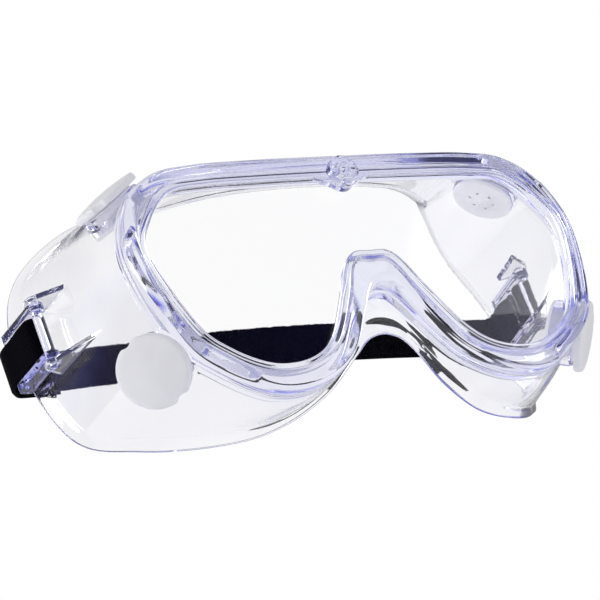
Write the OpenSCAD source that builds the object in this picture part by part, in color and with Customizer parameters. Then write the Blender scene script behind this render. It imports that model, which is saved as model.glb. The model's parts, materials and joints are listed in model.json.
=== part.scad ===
// Safety goggles: a soft clear frame with a face skirt, a snap-in lens, four
// capped vents and an elastic strap held by two swivelling buckles.
// Millimetres. The lens faces -Y, +X is to the right as seen from the front,
// and +Z is up. Left and right in names are as seen from the front.
// The origin is the centre of the window on the front of the rim.

/* [Frame] */
// Height of the straight top of the window above the origin
window_top = 30; // [28:0.5:32]
// Radius of the slight curve of the front, seen from above
front_radius = 1082; // [800:10:1400]
// Depth of the thick rim, front to back
rim_depth = 7.5; // [7:0.5:9]
// Wall of the soft skirt between rim and face
skirt_wall = 1.7; // [1.5:0.1:2.2]
// Width of the thin lip that meets the face
lip_width = 4.5; // [3.5:0.5:6]
// How far the side of the skirt stands outside a straight line
skirt_bulge = 1.2; // [0:0.2:2]

/* [Lens] */
// Thickness of the lens sheet
lens_thickness = 1.9; // [1.6:0.1:2]
// Depth of the groove that holds the lens edge
groove_depth = 3.2; // [2.5:0.1:3.4]
// Gap between lens and groove on every side
lens_gap = 0.12; // [0.08:0.01:0.2]

/* [Vents] */
// Radius of a vent cap
cap_radius = 11; // [10:0.5:12]
// Travel of a cap on its post from closed to open
cap_travel = 1.2; // [0.6:0.1:1.4]
// Centre of a lower vent on its outer seat face
lower_vent = [73.6, 17.1, -20.8]; // [10:0.1:90]
// Direction in which a lower vent faces
lower_facing = [0.68, -0.5, -0.53]; // [-1:0.01:1]
// Centre of an upper vent on its outer seat face
upper_vent = [66.8, 20.5, 37.1]; // [10:0.1:90]
// Direction in which an upper vent faces
upper_facing = [0.565, -0.2, 0.8]; // [-1:0.01:1]

/* [Buckles] */
// Swivel axis of a buckle: distance from the middle plane
pivot_x = 87; // [86.8:0.1:88]
// Swivel axis of a buckle: distance behind the origin
pivot_y = 46; // [44:0.5:48]
// Height of the strap's middle line
strap_z = 10.5; // [9:0.5:12]
// Length of a buckle behind its swivel axis
buckle_length = 18.5; // [18:0.5:19]
// Thickness of a buckle's two side blocks
buckle_thick = 5.2; // [5:0.1:5.6]
// Height of each side block above or below the strap
block_height = 2.6; // [2.2:0.1:4]

/* [Strap] */
// Width of the woven strap
strap_width = 13; // [12.5:0.5:15]
// Thickness of the woven strap
strap_thick = 1.3; // [1.2:0.1:1.4]
// Distance of the strap behind the origin, at the middle plane
strap_back = 64.5; // [62:0.5:68]

/* [Hidden] */
$fn = 48;

// How many steps the outlines take between two of their points
steps = 4;
clear_pvc = [0.86, 0.87, 0.96, 0.55];
clear_pc = [0.93, 0.95, 1.0, 0.35];
vent_white = [0.93, 0.92, 0.96];
buckle_clear = [0.72, 0.72, 0.95, 0.7];
strap_black = [0.05, 0.05, 0.07];

// Matched points of half the frame, from the top middle round the outer side
// to the nose: [window edge x, z], [rim outer edge x, z], [face edge x, y, z].
half_outline = [
    [[0, window_top], [0, 38], [0, 22.1, 42.4]],
    [[29, window_top], [29, 38.1], [30.4, 24.4, 41.7]],
    [[46, window_top - 0.1], [48, 37.8], [49.5, 35.9, 43.7]],
    [[58.5, 28.3], [62, 35.5], [64.3, 52.9, 49.3]],
    [[67, 20], [72.5, 26.4], [78.6, 68.6, 40.6]],
    [[71.3, 8.5], [77.5, 9], [86.2, 67.6, 16.1]],
    [[64.5, -15], [72, -17.3], [82.5, 59.1, -18.2]],
    [[56.5, -24.5], [61, -30], [69.6, 46.8, -31.1]],
    [[45.1, -30.4], [47, -38.7], [51.1, 33, -39]],
    [[33, -29.8], [32, -38.2], [35, 26.5, -38.7]],
    [[23.5, -23.5], [18.5, -30], [20.5, 18.5, -33.5]],
    [[14.6, -9], [8.6, -15], [10.4, 12, -25.2]],
    [[9.9, 0], [5.4, -9.8], [6.2, 10, -21.4]],
    [[6, 4], [2.8, -7.1], [3, 9.3, -19.9]],
    [[0, 4.3], [0, -6.4], [0, 9, -19.4]]
];
last = len(half_outline) - 1;

function unit(v) = v / norm(v);
function mirrored_x(v) = len(v) == 2 ? [-v[0], v[1]] : [-v[0], v[1], v[2]];
// The whole loop of stations, past the nose and back up the other side
function station(i) =
    let (k = (i + 2 * last) % (2 * last))
    k <= last ? half_outline[k] : [for (p = half_outline[2 * last - k]) mirrored_x(p)];
// A smooth curve through four neighbours, t from 0 to 1 between b and c
function smooth(a, b, c, d, t) =
    0.5 * (2 * b + (c - a) * t + (2 * a - 5 * b + 4 * c - d) * t * t
        + (3 * b - a - 3 * c + d) * t * t * t);
function along(part, i, t) =
    smooth(station(i - 1)[part], station(i)[part], station(i + 1)[part],
        station(i + 2)[part], t);
// Depth of the curved front at a distance x from the middle plane
function front_y(x) = front_radius - sqrt(front_radius * front_radius - x * x);
function on_front(p, back = 0) = [p[0], front_y(p[0]) + back, p[1]];
// A point in the curved front, at a reach outward from the window edge
function reach_out(edge, rim, reach) = edge + reach * unit(rim - edge);

// Depths of the lens groove behind the front of the rim
lens_front = 2.4;
lens_rear = lens_front + lens_thickness + 2 * lens_gap;
// How far the outer edge of the rim lies behind the window edge
outer_set_back = 0.65;
// How far the outer rib of the rim stands in front of the inner bead
rib_rise = 0.7;
bead_width = 2.2;
// Step from the rim's outer side in to the skirt
skirt_step = 0.7;

// One closed section of the frame, as points in space. "a" runs outward over
// the rim from the window edge and "b" runs back into it.
function frame_section(i, t) =
    let (
        edge = along(0, i, t),
        rim = along(1, i, t),
        inner = on_front(edge),
        outer = on_front(rim, outer_set_back),
        face = along(2, i, t),
        w = norm(outer - inner),
        a = unit(outer - inner),
        back = unit(face - outer),
        b = unit([0, 0.65, 0] + 0.35 * back),
        y = [0, 1, 0],
        start = outer + b * rim_depth - a * skirt_step,
        run = unit(face - start),
        side = a - b,
        out = unit(side - (side * run) * run),
        lip = unit(0.35 * out + run),
        knee = face - lip_width * lip,
        middle = 0.5 * (start + knee) + skirt_bulge * out,
        inner_start = start - skirt_wall * out + 0.4 * run
    ) [
        inner + y * 0.7,
        inner + a * 0.6,
        inner + a * bead_width,
        inner + a * (bead_width + 0.5) - y * rib_rise,
        inner + a * (w - 1.7) - y * rib_rise,
        inner + a * (w - 0.5) - y * 0.1,
        outer + b * 1.3,
        outer + b * (rim_depth - 0.6),
        start,
        middle,
        knee,
        face,
        face - 1.2 * out,
        knee - skirt_wall * out,
        middle - skirt_wall * out,
        inner_start,
        inner + a * (groove_depth + 1.6) + y * rim_depth,
        inner + a * 1.2 + y * (rim_depth - 0.6),
        on_front(reach_out(edge, rim, 0.6), lens_rear),
        on_front(reach_out(edge, rim, groove_depth), lens_rear),
        on_front(reach_out(edge, rim, groove_depth), lens_front),
        inner + y * lens_front
    ];

module frame_shell() {
    sections = [for (i = [0 : 2 * last - 1]) for (s = [0 : steps - 1]) frame_section(i, s / steps)];
    rings = len(sections);
    size = len(sections[0]);
    points = [for (ring = sections) for (p = ring) p];
    faces = [for (r = [0 : rings - 1]) for (k = [0 : size - 1])
        let (
            next_r = (r + 1) % rings,
            next_k = (k + 1) % size,
            p = r * size + k,
            q = r * size + next_k,
            u = next_r * size + next_k,
            v = next_r * size + k
        )
        each [[p, q, u], [p, u, v]]];
    polyhedron(points, faces);
}

// Turns +Z to face along v and moves to p
module facing(p, v) {
    n = unit(v);
    translate(p)
        rotate([0, acos(n[2]), atan2(n[1], n[0])])
            children();
}

module on_left() {
    mirror([1, 0, 0]) children();
}

module both_sides() {
    children();
    on_left() children();
}

// ---- Vent sizes, along the vent axis from its outer seat face ----
bore_radius = 7;
lower_seat = 7.5;
upper_seat = 5.5;
vent_boss_radius = 9.6;
base_flange_radius = 9.4;
base_flange = 1.2;
tube_radius = bore_radius - 0.05;
tube_wall = 1.3;
lip_radius = 8;
lip_height = 0.8;
post_radius = 1.8;
barb_radius = 2.25;
barb_from = 1.0 + cap_travel;
barb_to = barb_from + 0.8;
cap_top = barb_to + 1.1;
cap_under = lip_height + 0.15;
air_hole_radius = 0.5;
air_hole_ring = 3.8;
// Two opposite fingernail scallops in the edge of each cap
scallop_radius = 3.9;
scallop_depth = 0.9;
scallop_turn = -17;

module vent_boss(p, v, seat) {
    facing(p, v)
        translate([0, 0, -seat])
            cylinder(r = vent_boss_radius, h = seat);
}

module vent_opening(p, v, seat) {
    facing(p, v) {
        translate([0, 0, -seat - 9])
            cylinder(r = base_flange_radius + 0.6, h = 9);
        translate([0, 0, -seat - 1])
            cylinder(r = bore_radius, h = seat + 2);
        cylinder(r = cap_radius + 1.2, h = 9);
    }
}

module vent_base(p, v, seat) {
    plate = seat + base_flange;
    color(vent_white)
        facing(p, v)
            difference() {
                union() {
                    rotate_extrude()
                        polygon([
                            [0, -plate],
                            [base_flange_radius, -plate],
                            [base_flange_radius, -seat - 0.02],
                            [tube_radius, -seat - 0.02],
                            [tube_radius, 0.02],
                            [lip_radius, 0.02],
                            [lip_radius - 0.4, lip_height],
                            [tube_radius - tube_wall, lip_height],
                            [tube_radius - tube_wall, -seat],
                            [0, -seat]
                        ]);
                    translate([0, 0, -seat - base_flange / 2])
                        cylinder(r = post_radius, h = barb_to + seat + base_flange / 2);
                    translate([0, 0, barb_from])
                        cylinder(r1 = barb_radius, r2 = post_radius, h = barb_to - barb_from);
                }
                for (turn = [0 : 60 : 300])
                    rotate([0, 0, turn])
                        translate([air_hole_ring, 0, -plate - 1])
                            cylinder(r = air_hole_radius, h = base_flange + 2);
            }
}

module vent_cap(p, v) {
    hub_radius = 3.4;
    wall = 1.1;
    dome = 0.9;
    skirt = cap_radius - 1.4;
    color(vent_white)
        facing(p, v)
            difference() {
                rotate_extrude($fn = 96)
                    polygon([
                        [post_radius + 0.08, 0.2],
                        [hub_radius, 0.2],
                        [hub_radius, cap_top - wall],
                        [skirt, cap_top - wall - dome],
                        [skirt, cap_under],
                        [cap_radius - 0.2, cap_under],
                        [cap_radius, cap_under + 0.4],
                        [cap_radius, cap_top - dome - 0.7],
                        [cap_radius - 0.6, cap_top - dome],
                        [cap_radius * 0.6, cap_top - dome * 0.35],
                        [0, cap_top],
                        [0, barb_to + 0.15],
                        [barb_radius + 0.1, barb_to + 0.15],
                        [barb_radius + 0.1, 1.0],
                        [post_radius + 0.08, 1.0]
                    ]);
                for (turn = [0, 180])
                    rotate([0, 0, scallop_turn + turn])
                        translate([cap_radius - scallop_depth + scallop_radius, 0, 0])
                            cylinder(r = scallop_radius, h = cap_top);
            }
}

// ---- Buckle: drawn with its swivel axis on Z, reaching back along +Y ----
buckle_tilt = 5.4;
inner_height = strap_width + 0.8;
buckle_height = inner_height + 2 * block_height;
nose_radius = buckle_thick / 2;
trunnion_radius = 1.5;
ear_gap = 0.2;
ear_thick = 1.6;
ear_bore = trunnion_radius + 0.06;
trunnion_reach = ear_gap + ear_thick;
front_bar_radius = 1.7;
// Bars as [distance inside or outside, distance back]: the strap turns round
// the wrap bar, passes behind the keeper bar and goes out round the rear bar.
wrap_bar = [0.4, 4.4];
wrap_bar_radius = 1.1;
keeper_bar = [-1.45, 7.9];
keeper_bar_radius = 1.05;
rear_bar = [0, buckle_length - 2.5];
rear_bar_radius = 1.1;

module at_pivot() {
    translate([pivot_x, pivot_y, strap_z])
        rotate([0, 0, -buckle_tilt])
            children();
}

module buckle_block(z) {
    translate([0, 0, z])
        linear_extrude(block_height)
            polygon([
                [-nose_radius, 0],
                [nose_radius, 0],
                [nose_radius, buckle_length - 1.5],
                [nose_radius - 1.2, buckle_length],
                [-nose_radius + 0.6, buckle_length],
                [-nose_radius, buckle_length - 1]
            ]);
    translate([0, 0, z])
        cylinder(r = nose_radius, h = block_height);
}

// A bar that joins the two blocks, sunk a little into both
module buckle_bar(place, r) {
    translate([place[0], place[1], 1 - buckle_height / 2])
        cylinder(r = r, h = buckle_height - 2);
}

module buckle() {
    color(buckle_clear)
        at_pivot() {
            buckle_block(inner_height / 2);
            buckle_block(-buckle_height / 2);
            buckle_bar([0, 0], front_bar_radius);
            buckle_bar(wrap_bar, wrap_bar_radius);
            buckle_bar(keeper_bar, keeper_bar_radius);
            buckle_bar(rear_bar, rear_bar_radius);
            translate([0, 0, -buckle_height / 2 - trunnion_reach])
                cylinder(r = trunnion_radius, h = buckle_height + 2 * trunnion_reach);
        }
}

// A flat ear on the skirt that holds one trunnion, tapering forward to its reach
module ear(z, root, reach) {
    translate([pivot_x, pivot_y, strap_z + z])
        linear_extrude(ear_thick)
            polygon([
                [-5.6 - root, 6],
                [-5.6 - root - 0.19 * reach, -reach],
                [-7.2, 0.5 - reach],
                [0.8, -3.2],
                [2.3, -2.0],
                [2.9, 0],
                [2.3, 1.9],
                [0.6, 3],
                [-2.6, 4.6]
            ]);
}

ear_low = -buckle_height / 2 - ear_gap - ear_thick;
ear_high = buckle_height / 2 + ear_gap;
ear_low_reach = 16;
// The skirt leans inward at the upper ear, so that ear is rooted further in
ear_high_root = 1;
ear_high_reach = 9;

module ear_bores() {
    translate([pivot_x, pivot_y, strap_z + ear_low - 1])
        cylinder(r = ear_bore, h = ear_thick + 2);
    translate([pivot_x, pivot_y, strap_z + ear_high - 1])
        cylinder(r = ear_bore, h = ear_thick + 2);
}

// ---- Round boss at the top middle, where a stud pins the lens ----
stud_z = window_top + 0.9;
stud_radius = 1.5;
stud_back = 5.2;
head_radius = 2;
boss_radius = 4.8;
boss_front = -2.9;
boss_back = lens_front - 0.2;
tab_radius = 3;
// The boss stands on a thinner round lobe that flares into the window edge
lobe_radius = 5.2;
lobe_front = 0.15;
flare_half = 9.5;
flare_foot = [2.4, stud_z - 4.3];
head_depth = 0.8;

module along_y(p, r, h) {
    translate(p)
        rotate([-90, 0, 0])
            cylinder(r = r, h = h);
}

module stud_boss() {
    along_y([0, boss_front, stud_z], boss_radius, boss_back - boss_front);
    along_y([0, lobe_front, stud_z], lobe_radius, boss_back - lobe_front);
    translate([0, boss_back, 0])
        rotate([90, 0, 0])
            linear_extrude(boss_back - lobe_front)
                polygon([
                    [-flare_half, window_top],
                    [-flare_foot[0], flare_foot[1]],
                    flare_foot,
                    [flare_half, window_top],
                    [flare_half, window_top + 1.5],
                    [-flare_half, window_top + 1.5]
                ]);
}

// Room for the lens tab, the stud and the stud's head
module stud_boss_slot() {
    along_y([0, lens_front, stud_z], tab_radius + 0.15, lens_rear - lens_front);
    along_y([0, boss_front - 1, stud_z], stud_radius + 0.05, stud_back + 0.2 - boss_front + 1);
    along_y([0, boss_front - 1, stud_z], head_radius + 0.1, head_depth + 1);
}

module frame_body() {
    color(clear_pvc)
        difference() {
            union() {
                frame_shell();
                both_sides() {
                    vent_boss(lower_vent, lower_facing, lower_seat);
                    vent_boss(upper_vent, upper_facing, upper_seat);
                    ear(ear_low, 0, ear_low_reach);
                    ear(ear_high, ear_high_root, ear_high_reach);
                }
                stud_boss();
            }
            both_sides() {
                vent_opening(lower_vent, lower_facing, lower_seat);
                vent_opening(upper_vent, upper_facing, upper_seat);
                ear_bores();
            }
            stud_boss_slot();
        }
}

// The lens outline: the window edge pushed outward into the groove
function lens_edge(i, t) = reach_out(along(0, i, t), along(1, i, t), groove_depth - lens_gap);

module lens() {
    outline = [for (i = [0 : 2 * last - 1]) for (s = [0 : steps - 1]) lens_edge(i, s / steps)];
    front = front_radius - lens_front - lens_gap;
    color(clear_pc)
        difference() {
            intersection() {
                union() {
                    rotate([90, 0, 0])
                        translate([0, 0, -12])
                            linear_extrude(12)
                                polygon(outline);
                    along_y([0, 0, stud_z], tab_radius, 12);
                }
                translate([0, front_radius, -60])
                    difference() {
                        cylinder(r = front, h = 120, $fn = 360);
                        translate([0, 0, -1])
                            cylinder(r = front - lens_thickness, h = 122, $fn = 360);
                    }
            }
            along_y([0, -1, stud_z], stud_radius + 0.05, 20);
        }
}

module lens_stud() {
    color(clear_pc) {
        along_y([0, boss_front + 0.1, stud_z], stud_radius, stud_back - boss_front - 0.1);
        along_y([0, boss_front + 0.1, stud_z], head_radius, head_depth - 0.15);
    }
}

// ---- Strap: a ribbon of even thickness along a path seen from above ----
function tangent(path, i) =
    let (n = len(path) - 1)
    unit(path[min(i + 1, n)] - path[max(i - 1, 0)]);
function offset_path(path, d) =
    [for (i = [0 : len(path) - 1])
        let (t = tangent(path, i))
        path[i] + d * [-t[1], t[0]]];
function reversed(list) = [for (i = [len(list) - 1 : -1 : 0]) list[i]];

module ribbon(path, width, thick) {
    left = offset_path(path, thick / 2);
    right = reversed(offset_path(path, -thick / 2));
    translate([0, 0, strap_z - width / 2])
        linear_extrude(width)
            polygon(concat(left, right));
}

// Where the strap leaves the buckle and where the free band begins
band_end = 72;
band_rise = 4.6;
function band_y(x) = strap_back + band_rise * pow(abs(x) / band_end, 2);

module strap_band() {
    path = [for (x = [-band_end : 6 : band_end]) [x, band_y(x)]];
    color(strap_black)
        ribbon(path, strap_width, strap_thick);
}

// From the buckle's own frame to the row frame, seen from above
function from_pivot(u, v) =
    [pivot_x + u * cos(buckle_tilt) + v * sin(buckle_tilt),
        pivot_y - u * sin(buckle_tilt) + v * cos(buckle_tilt)];

module strap_end() {
    gap = 0.08;
    turn_radius = wrap_bar_radius + gap + strap_thick / 2;
    side = rear_bar_radius + gap + strap_thick / 2;
    // The inner layer passes between the keeper bar and the outer layer
    behind = keeper_bar[0] + keeper_bar_radius + 0.2 + strap_thick / 2;
    outer = wrap_bar[0] + turn_radius;
    rear = rear_bar[1];
    seam = [band_end + 0.4, band_y(band_end + 0.4)];
    path = concat(
        [seam, seam + [5, 0.5]],
        [from_pivot(-4.6, 23.7), from_pivot(-2.3, 22.6), from_pivot(-1.6, 21.2)],
        [from_pivot(-side, rear + 2.8)],
        [from_pivot(-side, rear - 2), from_pivot(behind, 9), from_pivot(behind, 7.3)],
        [for (turn = [210 : -21 : 0])
            from_pivot(wrap_bar[0] + turn_radius * cos(turn), wrap_bar[1] - turn_radius * sin(turn))],
        [from_pivot(outer, 9), from_pivot(side, rear - 2), from_pivot(side, rear + 3)],
        [from_pivot(1.1, 21.8), from_pivot(-0.7, 23.9), from_pivot(-3.6, 25.5)],
        [seam + [5, 2.4], seam + [0, 1.9]]
    );
    color(strap_black)
        ribbon(path, strap_width, strap_thick);
}

// ---- Placing: the right-hand pieces, and their mirror images ----
module upper_base() {
    vent_base(upper_vent, upper_facing, upper_seat);
}

module lower_base() {
    vent_base(lower_vent, lower_facing, lower_seat);
}

module upper_cap() {
    vent_cap(upper_vent, upper_facing);
}

module lower_cap() {
    vent_cap(lower_vent, lower_facing);
}

frame_body();
lens();
lens_stud();
strap_band();
on_left() upper_base();  // vent_base_upper_left
upper_base();  // vent_base_upper_right
on_left() lower_base();  // vent_base_lower_left
lower_base();  // vent_base_lower_right
on_left() upper_cap();  // vent_cap_upper_left
upper_cap();  // vent_cap_upper_right
on_left() lower_cap();  // vent_cap_lower_left
lower_cap();  // vent_cap_lower_right
on_left() buckle();  // buckle_left
buckle();  // buckle_right
on_left() strap_end();  // strap_end_left
strap_end();  // strap_end_right
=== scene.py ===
"""Looks for a pair of clear safety goggles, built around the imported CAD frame.

Lengths inside this script are millimetres and become metres when a mesh is made.
-Y is the front, +X is right as seen from the front, +Z is up.
"""

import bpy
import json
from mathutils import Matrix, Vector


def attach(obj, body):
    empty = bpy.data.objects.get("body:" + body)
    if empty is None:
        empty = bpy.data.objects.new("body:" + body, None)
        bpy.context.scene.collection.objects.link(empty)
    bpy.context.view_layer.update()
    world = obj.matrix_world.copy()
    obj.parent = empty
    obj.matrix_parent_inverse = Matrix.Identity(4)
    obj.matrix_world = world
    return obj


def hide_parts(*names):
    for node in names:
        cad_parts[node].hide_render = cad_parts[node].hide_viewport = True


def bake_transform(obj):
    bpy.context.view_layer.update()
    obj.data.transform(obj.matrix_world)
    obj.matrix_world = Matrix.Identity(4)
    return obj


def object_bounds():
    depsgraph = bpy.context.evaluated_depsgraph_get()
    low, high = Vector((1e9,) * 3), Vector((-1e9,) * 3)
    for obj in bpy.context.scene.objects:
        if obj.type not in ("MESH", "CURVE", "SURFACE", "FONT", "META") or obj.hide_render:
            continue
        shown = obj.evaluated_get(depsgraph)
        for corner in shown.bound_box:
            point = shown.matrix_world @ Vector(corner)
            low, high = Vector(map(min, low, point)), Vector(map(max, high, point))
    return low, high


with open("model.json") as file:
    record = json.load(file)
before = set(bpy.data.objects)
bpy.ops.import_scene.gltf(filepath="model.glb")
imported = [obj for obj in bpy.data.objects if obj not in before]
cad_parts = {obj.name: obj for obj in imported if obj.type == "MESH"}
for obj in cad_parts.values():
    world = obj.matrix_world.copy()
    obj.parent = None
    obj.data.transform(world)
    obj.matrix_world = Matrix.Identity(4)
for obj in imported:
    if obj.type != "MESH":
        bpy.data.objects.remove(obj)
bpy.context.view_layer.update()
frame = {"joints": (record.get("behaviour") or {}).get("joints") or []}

import json
import math

import bmesh
import bpy
from mathutils import Matrix, Quaternion, Vector

MM = 0.001
JOINTS = {joint["name"]: joint for joint in frame["joints"]}
SCENE = bpy.context.scene

# ---------------------------------------------------------------- dimensions
FRONT_RADIUS = 1082.0
RIM_DEPTH = 7.5
SKIRT_WALL = 1.7
LIP_WIDTH = 4.5
SKIRT_BULGE = 1.2
SKIRT_STEP = 0.7
GROOVE_DEPTH = 3.2
LENS_GAP = 0.12
LENS_THICK = 1.9
LENS_FRONT = 2.4
LENS_REAR = LENS_FRONT + LENS_THICK + 2 * LENS_GAP
OUTER_SET_BACK = 0.65
RIB_RISE = 0.7
BEAD_WIDTH = 2.2

# Half of the frame from the top middle to the nose: window edge (x, z),
# rim outer edge (x, z) and face edge (x, y, z), matched point by point.
HALF_OUTLINE = [
    ((0, 30), (0, 38), (0, 22.1, 42.4)),
    ((29, 30), (29, 38.1), (30.4, 24.4, 41.7)),
    ((46, 29.9), (48, 37.8), (49.5, 35.9, 43.7)),
    ((58.5, 28.3), (62, 35.5), (64.3, 52.9, 49.3)),
    ((67, 20), (72.5, 26.4), (78.6, 68.6, 40.6)),
    ((71.3, 8.5), (77.5, 9), (86.2, 67.6, 16.1)),
    ((64.5, -15), (72, -17.3), (82.5, 59.1, -18.2)),
    ((56.5, -24.5), (61, -30), (69.6, 46.8, -31.1)),
    ((45.1, -30.4), (47, -38.7), (51.1, 33, -39)),
    ((33, -29.8), (32, -38.2), (35, 26.5, -38.7)),
    ((23.5, -23.5), (18.5, -30), (20.5, 18.5, -33.5)),
    ((14.6, -9), (8.6, -15), (10.4, 12, -25.2)),
    ((9.9, 0), (5.4, -9.8), (6.2, 10, -21.4)),
    ((6, 4), (2.8, -7.1), (3, 9.3, -19.9)),
    ((0, 4.3), (0, -6.4), (0, 9, -19.4)),
]
HALF = len(HALF_OUTLINE) - 1
WINDOW, RIM, FACE = 0, 1, 2
RINGS_PER_STEP = 12


# ------------------------------------------------------------- mesh helpers
def make_object(name, verts, faces, smooth_angle=35.0):
    """A mesh object from points in millimetres, shaded smooth below an angle."""
    mesh = bpy.data.meshes.new(name)
    mesh.from_pydata([tuple(c * MM for c in v) for v in verts], [], faces)
    mesh.update()
    obj = bpy.data.objects.new(name, mesh)
    SCENE.collection.objects.link(obj)
    recalculate(obj)
    shade(obj, smooth_angle)
    return obj


def recalculate(obj):
    bm = bmesh.new()
    bm.from_mesh(obj.data)
    bmesh.ops.recalc_face_normals(bm, faces=bm.faces)
    bm.to_mesh(obj.data)
    bm.free()


def even_normals(obj):
    """Lets large flat faces keep their own direction next to small bevels."""
    mod = obj.modifiers.new("even", "WEIGHTED_NORMAL")
    mod.keep_sharp = True
    mod.weight = 100
    bpy.context.view_layer.update()
    depsgraph = bpy.context.evaluated_depsgraph_get()
    mesh = bpy.data.meshes.new_from_object(obj.evaluated_get(depsgraph))
    obj.modifiers.clear()
    old = obj.data
    obj.data = mesh
    bpy.data.meshes.remove(old)
    mesh.name = obj.name


def shade(obj, angle):
    """Smooth faces, with edges sharper than angle kept crisp."""
    bm = bmesh.new()
    bm.from_mesh(obj.data)
    limit = math.radians(angle)
    for face in bm.faces:
        face.smooth = True
    for edge in bm.edges:
        sharp = len(edge.link_faces) == 2 and edge.calc_face_angle(0.0) > limit
        edge.smooth = not sharp
    bm.to_mesh(obj.data)
    bm.free()


def combine(target, others, operation):
    """Applies an exact solid union or cut, and removes the tools."""
    for other in others:
        mod = target.modifiers.new("combine", "BOOLEAN")
        mod.solver = "MANIFOLD"
        mod.operation = operation
        mod.object = other
        bpy.context.view_layer.update()
        depsgraph = bpy.context.evaluated_depsgraph_get()
        mesh = bpy.data.meshes.new_from_object(target.evaluated_get(depsgraph))
        target.modifiers.clear()
        old = target.data
        target.data = mesh
        bpy.data.meshes.remove(old)
        bpy.data.objects.remove(other)
    mesh = target.data
    mesh.name = target.name
    return target


def mirrored(obj, name):
    """A copy of obj on the other side of the middle plane."""
    copy = obj.copy()
    copy.data = obj.data.copy()
    copy.name = name
    copy.data.name = name
    SCENE.collection.objects.link(copy)
    copy.data.transform(Matrix.Scale(-1, 4, (1, 0, 0)))
    copy.data.flip_normals()
    return copy


def lathe(name, profile, place, segments=96, radius_at=None, smooth_angle=35.0):
    """Turns a closed (radius, height) profile round the axis of a placement."""
    verts, faces, rows = [], [], []
    for r, h in profile:
        row = []
        if r < 1e-6:
            row = [len(verts)] * segments
            verts.append(place @ Vector((0, 0, h)))
        else:
            for k in range(segments):
                a = 2 * math.pi * k / segments
                s = radius_at(r, a) if radius_at else r
                row.append(len(verts))
                verts.append(place @ Vector((s * math.cos(a), s * math.sin(a), h)))
        rows.append(row)
    for i in range(len(rows)):
        low, high = rows[i], rows[(i + 1) % len(rows)]
        for k in range(segments):
            n = (k + 1) % segments
            loop = [low[k], low[n], high[n], high[k]]
            loop = [v for j, v in enumerate(loop) if v != loop[j - 1]]
            if len(set(loop)) > 2:
                faces.append(loop)
    return make_object(name, verts, faces, smooth_angle)


def round_corners(points, radii, steps=3):
    """Replaces each corner of a closed polyline by a short smooth curve."""
    out = []
    count = len(points)
    for i, (p, r) in enumerate(zip(points, radii)):
        before, after = points[i - 1] - p, points[(i + 1) % count] - p
        if r <= 0:
            out.append(p)
            continue
        cut_before = min(r, before.length * 0.48)
        cut_after = min(r, after.length * 0.48)
        a = p + before.normalized() * cut_before
        b = p + after.normalized() * cut_after
        for s in range(steps + 1):
            t = s / steps
            out.append(a * (1 - t) ** 2 + p * (2 * t * (1 - t)) + b * t * t)
    return out


def loft(name, rings, smooth_angle=35.0):
    """Joins closed rings of equal length into a closed tube loop."""
    size = len(rings[0])
    verts = [p for ring in rings for p in ring]
    faces = []
    for r in range(len(rings)):
        n = (r + 1) % len(rings)
        for k in range(size):
            m = (k + 1) % size
            faces.append((r * size + k, r * size + m, n * size + m, n * size + k))
    return make_object(name, verts, faces, smooth_angle)


def prism(name, outline, low, high, bevel=0.0, place=Matrix()):
    """A straight prism over a closed outline, with an even bevel."""
    count = len(outline)
    verts = [place @ Vector((x, y, z)) for z in (low, high) for x, y in outline]
    faces = [tuple(range(count))[::-1], tuple(range(count, 2 * count))]
    for i in range(count):
        j = (i + 1) % count
        faces.append((i, j, count + j, count + i))
    obj = make_object(name, verts, faces)
    if bevel > 0:
        bm = bmesh.new()
        bm.from_mesh(obj.data)
        bmesh.ops.bevel(bm, geom=bm.edges[:], offset=bevel * MM, segments=3,
                        profile=0.5, affect="EDGES", clamp_overlap=True)
        bm.to_mesh(obj.data)
        bm.free()
        shade(obj, 35.0)
    return obj


def facing(point, direction):
    """Placement at a point with local +Z along direction, turned as in the CAD."""
    n = Vector(direction).normalized()
    swing = Matrix.Rotation(math.atan2(n.y, n.x), 4, "Z")
    lean = Matrix.Rotation(math.acos(n.z), 4, "Y")
    return Matrix.Translation(Vector(point)) @ swing @ lean


# ---------------------------------------------------------------- materials
def nodes_for(name):
    mat = bpy.data.materials.new(name)
    mat.use_nodes = True
    tree = mat.node_tree
    for node in list(tree.nodes):
        tree.nodes.remove(node)
    return mat, tree


def add(tree, kind, **values):
    """Adds a node; values set its inputs by name or its own properties."""
    node = tree.nodes.new(kind)
    for key, value in values.items():
        if key in node.inputs:
            node.inputs[key].default_value = value
        elif hasattr(node, key):
            setattr(node, key, value)
        else:
            node.inputs[key.replace("_", " ")].default_value = value
    return node


def link(tree, a, out, b, into):
    tree.links.new(a.outputs[out], b.inputs[into])


# Bounces after which a surface stops shading light, and after which the ray is not traced on
# and the surface shows a painted glow in an edge colour instead
SHADED_BOUNCES = 3.5
PAINTED_GLOW_BOUNCES = 7.5
# Zones as (axis, off at, full at) in mm
RIM_ZONE = ("Y", 13.0, 8.0)
# Mask from the pale and blue painted glow at the front to its near-black painted shade further
# back
FRONT_ZONE = ("Y", 40.0, 30.0)
BUCKLE_FOOT_ZONE = ("Z", 5.0, 2.0)
# Colours of the painted edge glow
PAINTED_GLOW_PALE = (0.66, 0.67, 0.76, 1)
PAINTED_GLOW_BLUE = (0.24, 0.25, 0.74, 1)
PAINTED_GLOW_DARK = (0.03, 0.03, 0.09, 1)
# Distances right of the camera's axis (m) between which the painted glow turns from pale to blue
PALE_TO, BLUE_FROM = 0.02, 0.075
WHITE = (1, 1, 1, 1)
PASSING_LIGHT = (0.97, 0.97, 0.985, 1)
MILKY = (0.93, 0.93, 0.98, 1)
GRAIN_SCALE = 900.0
STREAK_SCALE, STREAK_STRETCH, STREAK_TURN = 26.0, (1.0, 0.45, 1.0), (0.3, 0.2, 0.5)


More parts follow.
